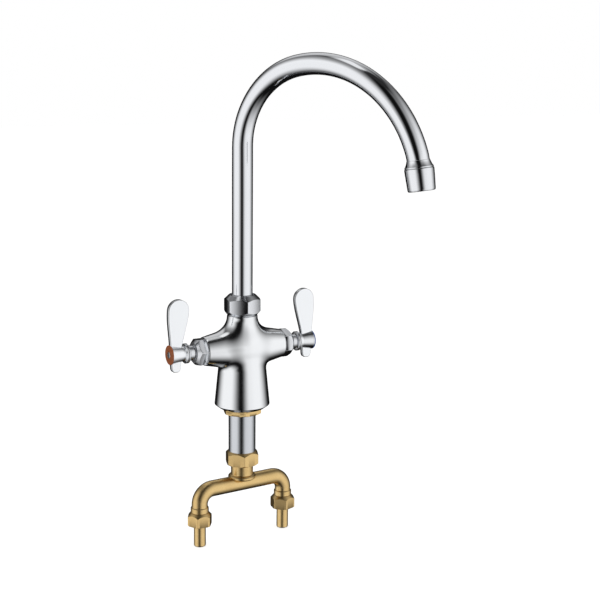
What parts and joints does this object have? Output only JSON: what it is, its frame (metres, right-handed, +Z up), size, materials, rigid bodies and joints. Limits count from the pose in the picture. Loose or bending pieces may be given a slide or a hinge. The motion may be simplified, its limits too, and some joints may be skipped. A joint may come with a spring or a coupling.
{
  "type": "single-hole double pantry tap",
  "caption": "Chromed deck-mounted mixer tap with two quarter-turn lever valves on a cast body, a swivelling gooseneck spout with aerator, and a brass two-legged supply yoke under the deck.",
  "frame": {"origin": "on the deck plane, at the centre of the flat underside of the body foot", "axes": "+Z up the column, X along the two valve arms (hot at -X, cold at +X), the user stands at -Y"},
  "size_m": [0.1666, 0.2056, 0.4542],
  "materials": {
    "chrome": "polished chrome plate",
    "bright_brass": "satin cast and turned brass",
    "plain_brass": "machined brass",
    "black_rubber": "moulded black rubber",
    "white_plastic": "moulded acetal",
    "screen_steel": "plain stainless steel",
    "ceramic": "lapped ceramic",
    "hot_index": "copper-red enamel",
    "cold_index": "blue enamel"
  },
  "bodies": {
    "tap_body": {"body": "chrome", "base_gasket": "black_rubber", "deck_locknut": "bright_brass", "shank": "chrome", "inner_tube": "plain_brass", "shank_washer": "black_rubber", "yoke_nut": "bright_brass", "yoke": "bright_brass", "spout_nut": "chrome", "hot_union_nut": "bright_brass", "hot_union_washer": "black_rubber", "hot_tailpiece": "bright_brass", "hot_bonnet": "chrome", "hot_bonnet_seal": "black_rubber", "hot_cartridge_shell": "plain_brass", "hot_seat_seal": "black_rubber", "hot_fixed_disc": "ceramic", "cold_union_nut": "bright_brass", "cold_union_washer": "black_rubber", "cold_tailpiece": "bright_brass", "cold_bonnet": "chrome", "cold_bonnet_seal": "black_rubber", "cold_cartridge_shell": "plain_brass", "cold_seat_seal": "black_rubber", "cold_fixed_disc": "ceramic"},
    "spout": {"spout_tube": "chrome", "spout_sleeve": "plain_brass", "spout_o_rings": "black_rubber", "spout_bearing_ring": "white_plastic", "spout_end_fitting": "chrome", "aerator_housing": "chrome", "aerator_washer": "black_rubber", "aerator_insert": "white_plastic", "aerator_screen": "screen_steel"},
    "hot_handle": {"hot_lever": "chrome", "hot_index_disc": "hot_index", "hot_handle_screw": "screen_steel", "hot_stem": "plain_brass", "hot_stem_seal": "black_rubber", "hot_moving_disc": "ceramic"},
    "cold_handle": {"cold_lever": "chrome", "cold_index_disc": "cold_index", "cold_handle_screw": "screen_steel", "cold_stem": "plain_brass", "cold_stem_seal": "black_rubber", "cold_moving_disc": "ceramic"}
  },
  "joints": [
    {"name": "spout_swivel", "type": "hinge", "parent": "tap_body", "child": "spout", "pos_m": [0, 0, 0.098], "axis": [0, 0, 1], "continuous": true},
    {"name": "hot_handle_turn", "type": "hinge", "parent": "tap_body", "child": "hot_handle", "pos_m": [-0.045, 0, 0.057], "axis": [1, 0, 0], "range_deg": [0, 90]},
    {"name": "cold_handle_turn", "type": "hinge", "parent": "tap_body", "child": "cold_handle", "pos_m": [0.045, 0, 0.057], "axis": [1, 0, 0], "range_deg": [0, 90]}
  ]
}
